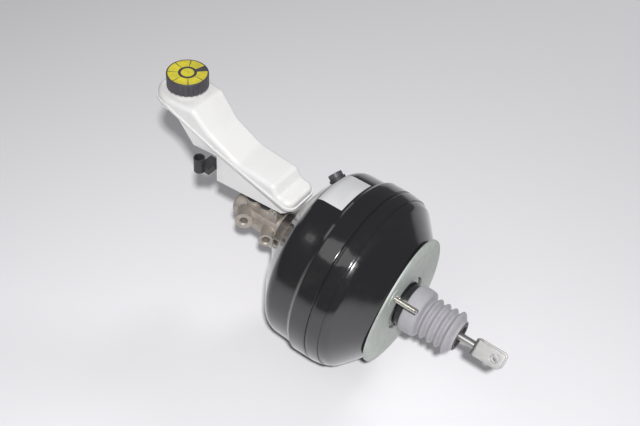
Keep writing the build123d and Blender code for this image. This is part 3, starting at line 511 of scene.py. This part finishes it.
class BoosterLabelSettings(bpy.types.PropertyGroup):
    paper: FloatVectorProperty(
        name="Paper", description="Colour of the blank label", subtype="COLOR",
        default=(0.5, 0.5, 0.51), min=0, max=1)
    print_colour: FloatVectorProperty(
        name="Cap print", description="Colour of the cap's blank ring segments", subtype="COLOR",
        default=(0.72, 0.62, 0.04), min=0, max=1)
    segments: IntProperty(
        name="Segments", description="Blank segments round the cap", default=7, min=3, max=12)
    gap_turn: FloatProperty(
        name="Gap", description="Degrees to the wide gap in the cap's print", default=62.0,
        min=-180, max=180)


class BoosterStageSettings(bpy.types.PropertyGroup):
    lamp: FloatProperty(
        name="Lamp power", description="Power of the key lamp", subtype="POWER", default=41.0,
        min=0, max=500)
    floor: FloatVectorProperty(
        name="Floor", description="Colour of the floor", subtype="COLOR",
        default=(0.72, 0.71, 0.73), min=0, max=1)


# ---- Pieces ----
class DressNodes(bpy.types.Operator):
    """Give every node of the model its finish, smooth shading and worn edges"""

    bl_idname = "booster.dress_nodes"
    bl_label = "Finishes"

    def execute(self, context):
        edge = context.scene.booster_finish.edge
        for name, node in NODES.items():
            node.data.materials.clear()
            node.data.materials.append(FINISHES[SLOTS[name]]())
            node.data.shade_smooth()
            add_modifier(node, "WELD", merge_threshold=MERGE_DISTANCE)
            if SLOTS[name] in HARD_SLOTS and name != "filler_cap":
                add_modifier(
                    node, "BEVEL", width=edge, segments=2, limit_method="ANGLE",
                    angle_limit=WORN_EDGE_ANGLE)
                add_modifier(node, "WEIGHTED_NORMAL", weight=80)
            else:
                add_modifier(node, "EDGE_SPLIT", split_angle=SPLIT_ANGLE)
        return {"FINISHED"}


class BuildBoot(bpy.types.Operator):
    """Build the bellows boot with rounded folds, a stepped collar and an open end"""

    bl_idname = "booster.build_boot"
    bl_label = "Boot"

    def execute(self, context):
        settings = context.scene.booster_boot
        wall = settings.wall / MM
        low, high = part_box("boot")
        start, end = low.x / MM, high.x / MM
        collar = high.z / MM
        outer = profile_points(BOOT_FOOT, start)
        outer += profile_points(BOOT_COLLAR, start, collar)
        outer += profile_points(BOOT_SHOULDER, start)
        for fold in range(FOLD_COUNT):
            last = fold == FOLD_COUNT - 1
            valley = start + FOLD_START + FOLD_PITCH * fold
            outer += profile_points(FOLD_VALLEY, valley)
            outer += profile_points(FOLD_CREST, valley, LAST_PEAK_R if last else FOLD_PEAK_R)
            outer += profile_points(BOOT_END, end) if last else profile_points(FOLD_BACK, valley)
        inner = [(x, max(r - wall, BOOT_BORE_R)) for x, r in reversed(outer)]
        shape = turned_mesh(outer + inner, settings.steps, closed=True)
        boot = finished_piece("boot_bellows", shape, "housing", "grey_rubber")
        add_modifier(boot, "SUBSURF", levels=1, render_levels=1)
        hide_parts("boot")
        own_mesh(boot)
        return {"FINISHED"}


class BuildThreads(bpy.types.Operator):
    """Build the mounting studs with real threads"""

    bl_idname = "booster.build_threads"
    bl_label = "Threads"

    def execute(self, context):
        low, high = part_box("mounting_studs")
        head, tip = low.x / MM, high.x / MM
        turns = int((tip - THREAD_START - THREAD_END_GAP) / THREAD_PITCH)
        last = THREAD_START + turns * THREAD_PITCH
        thread = [(THREAD_START, THREAD_ROOT_R)]
        for turn in range(turns):
            crest = THREAD_START + (turn + 0.5) * THREAD_PITCH
            thread += [(crest - CREST_HALF, CREST_R), (crest + CREST_HALF, CREST_R)]
            thread.append((crest + THREAD_PITCH / 2, THREAD_ROOT_R))
        core = profile_points(STUD_HEAD, head)
        core += [(0.0, STUD_NECK_R), (0.0, THREAD_ROOT_R), (last + 0.6, THREAD_ROOT_R)]
        core += [(last + 1.0, TAIL_R), (tip - 0.9, TAIL_R), (tip, TIP_R), (tip, POLE_R)]
        mounts = {mount["name"]: mount for mount in frame["record"]["mounts"]}
        across = Vector(mounts["bulkhead_face"]["pos_m"])
        across = across.normalized() * STUD_CIRCLE_R * MM
        for index, offset in enumerate((across, -across)):
            for name, outline, advance in (("core", core, 0.0), ("thread", thread, THREAD_PITCH)):
                shape = turned_mesh(outline, STUD_STEPS, advance=advance)
                bmesh.ops.translate(shape, verts=shape.verts, vec=offset)
                piece = finished_piece(f"stud_{name}_{index}", shape, "housing", "zinc_steel")
                if name == "core":
                    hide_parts("mounting_studs")
        return {"FINISHED"}


class BuildLabel(bpy.types.Operator):
    """Lay the blank label on the shoulder of the front shell"""

    bl_idname = "booster.build_label"
    bl_label = "Label"

    def execute(self, context):
        shell = NODES["front_shell"].data
        corners = [vert.co for vert in shell.vertices]
        tree = BVHTree.FromPolygons(corners, [face.vertices for face in shell.polygons])
        shape = bmesh.new()
        columns, rows = LABEL_CELLS
        bmesh.ops.create_grid(shape, x_segments=columns, y_segments=rows, size=0.5)
        for vert in shape.verts:
            x = LABEL_X[0] + (vert.co.x + 0.5) * (LABEL_X[1] - LABEL_X[0])
            turn = radians(LABEL_TURN[0] + (vert.co.y + 0.5) * (LABEL_TURN[1] - LABEL_TURN[0]))
            out = Vector((0, sin(turn), cos(turn)))
            place, normal, _, _ = tree.ray_cast(Vector((x * MM, 0, 0)) + out * RAY_START, -out)
            if place is None:
                raise RuntimeError("the label missed the shell")
            side = 1 if normal.dot(out) > 0 else -1
            vert.co = place + normal.normalized() * LABEL_LIFT * side
        bmesh.ops.recalc_face_normals(shape, faces=shape.faces)
        paper = finish_material(
            "Blank label film", tuple(context.scene.booster_label.paper), (0.62, 0.61, 0.6),
            roughness=(0.3, 0.5), grain=400.0, grime=0.35)
        finished_piece("blank_label", shape, "housing", "white_plastic", paper)
        return {"FINISHED"}


class BuildCapTop(bpy.types.Operator):
    """Print the ring of blank segments and the centre disc on the filler cap"""

    bl_idname = "booster.build_cap_top"
    bl_label = "Cap top"

    def execute(self, context):
        settings = context.scene.booster_label
        low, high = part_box("filler_cap")
        centre = Vector(((low.x + high.x) / 2, 0, high.z - CAP_RECESS))
        ink = finish_material(
            "Yellow cap print", tuple(settings.print_colour), (0.3, 0.27, 0.05),
            roughness=(0.4, 0.6), grain=700.0, grime=0.5, speck=0.1,
            speck_colour=(0.12, 0.11, 0.04))
        shape = bmesh.new()
        share = (360.0 - 2 * GAP_HALF) / settings.segments
        for index in range(settings.segments):
            start = radians(settings.gap_turn + GAP_HALF + share * index + SEGMENT_GAP / 2)
            corners = [
                shape.verts.new((r * MM * cos(start), r * MM * sin(start), 0)) for r in RING_RADII]
            edge = shape.edges.new(corners)
            bmesh.ops.spin(
                shape, geom=corners + [edge], cent=(0, 0, 0), axis=(0, 0, 1), dvec=(0, 0, 0),
                angle=radians(share - SEGMENT_GAP), steps=SEGMENT_STEPS,
                use_merge=False, use_duplicate=False)
        bmesh.ops.create_circle(shape, cap_ends=True, segments=DISC_STEPS, radius=DISC_R * MM)
        for face in shape.faces:
            if face.normal.z < 0:
                face.normal_flip()
        raised = bmesh.ops.extrude_face_region(shape, geom=shape.faces[:])
        tops = [g for g in raised["geom"] if isinstance(g, bmesh.types.BMVert)]
        bmesh.ops.translate(shape, verts=tops, vec=(0, 0, PRINT_HEIGHT))
        bmesh.ops.translate(shape, verts=shape.verts, vec=centre)
        bmesh.ops.recalc_face_normals(shape, faces=shape.faces)
        finished_piece("cap_print", shape, "filler_cap", "charcoal_plastic", ink)
        return {"FINISHED"}


class FollowSprings(bpy.types.Operator):
    """Replace the springs and diaphragms with merged copies of their nodes"""

    bl_idname = "booster.follow_springs"
    bl_label = "Springs and diaphragms"

    def execute(self, context):
        plan = {
            "power_spring": "power_stroke",
            "front_diaphragm": "power_stroke",
            "rear_diaphragm": "power_stroke",
            "secondary_spring": "secondary_stroke",
        }
        for name, joint in plan.items():
            piece = copied_node(name)
            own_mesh(piece)
        shape = merged_node("rod_spring")
        piece = finished_piece("rod_spring_soft", shape, None, SLOTS["rod_spring"])
        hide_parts("rod_spring")
        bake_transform(piece)
        piece = copied_node("primary_spring")
        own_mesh(piece)
        return {"FINISHED"}


class BuildStage(bpy.types.Operator):
    """Set the floor, the lamps, the surround and the camera"""

    bl_idname = "booster.build_stage"
    bl_label = "Stage"

    def execute(self, context):
        settings = context.scene.booster_stage
        floor_z = CAD_BOX[0][2] - FLOOR_GAP
        shape = bmesh.new()
        bmesh.ops.create_grid(shape, x_segments=1, y_segments=1, size=FLOOR_SIZE)
        bmesh.ops.translate(shape, verts=shape.verts, vec=(0, 0, floor_z))
        mesh = bpy.data.meshes.new("floor")
        shape.to_mesh(mesh)
        shape.free()
        floor = bpy.data.objects.new("floor", mesh)
        context.scene.collection.objects.link(floor)
        paper = bpy.data.materials.new("Pale floor paper")
        paper.use_nodes = True
        surface = paper.node_tree.nodes["Principled BSDF"]
        surface.inputs["Base Color"].default_value = (*settings.floor, 1)
        surface.inputs["Roughness"].default_value = 0.9
        mesh.materials.append(paper)
        world = bpy.data.worlds.new("Pale surround")
        context.scene.world = world
        world.use_nodes = True
        background = world.node_tree.nodes["Background"]
        background.inputs["Color"].default_value = SURROUND_COLOUR
        background.inputs["Strength"].default_value = SURROUND_STRENGTH
        for name, place, size, share in LAMPS:
            data = bpy.data.lights.new(name, "AREA")
            data.shape = "DISK"
            data.size = size
            data.energy = settings.lamp * share
            lamp = bpy.data.objects.new(name, data)
            lamp.location = place
            aim = LAMP_AIM - Vector(place)
            lamp.rotation_euler = aim.to_track_quat("-Z", "Y").to_euler()
            lamp.visible_glossy = name != "back"
            context.scene.collection.objects.link(lamp)
        camera = bpy.data.cameras.new("camera")
        camera.lens = CAMERA_LENS
        camera.sensor_width = CAMERA_SENSOR
        camera.clip_end = CAMERA_FAR
        viewer = bpy.data.objects.new("camera", camera)
        back = CAMERA_RIGHT.cross(CAMERA_UP).normalized()
        turn = Matrix((CAMERA_RIGHT, CAMERA_UP, back)).transposed().to_4x4()
        turn.translation = CAMERA_PLACE
        viewer.matrix_world = turn
        context.scene.collection.objects.link(viewer)
        context.scene.camera = viewer
        context.scene.view_settings.view_transform = "Standard"
        return {"FINISHED"}


class BoosterPanel(bpy.types.Panel):
    """Lists the steps that dress the booster"""

    bl_idname = "VIEW3D_PT_booster"
    bl_label = "Brake booster"
    bl_space_type = "VIEW_3D"
    bl_region_type = "UI"
    bl_category = "Booster"

    def draw(self, context):
        for operator in OPERATORS:
            self.layout.operator(operator.bl_idname)
        for name in SETTINGS:
            group = getattr(context.scene, name)
            for key in group.__annotations__:
                self.layout.prop(group, key)


OPERATORS = (
    DressNodes,
    BuildBoot,
    BuildThreads,
    BuildLabel,
    BuildCapTop,
    FollowSprings,
    BuildStage,
)
SETTINGS = {
    "booster_finish": BoosterFinishSettings,
    "booster_boot": BoosterBootSettings,
    "booster_label": BoosterLabelSettings,
    "booster_stage": BoosterStageSettings,
}


def register():
    for group in (*SETTINGS.values(), *OPERATORS, BoosterPanel):
        bpy.utils.register_class(group)
    for name, group in SETTINGS.items():
        setattr(bpy.types.Scene, name, PointerProperty(type=group))


def unregister():
    for name in SETTINGS:
        delattr(bpy.types.Scene, name)
    for group in reversed((*SETTINGS.values(), *OPERATORS, BoosterPanel)):
        bpy.utils.unregister_class(group)


def main():
    register()
    for operator in OPERATORS:
        group, action = operator.bl_idname.split(".")
        getattr(getattr(bpy.ops, group), action)()


if __name__ == "__main__":
    main()
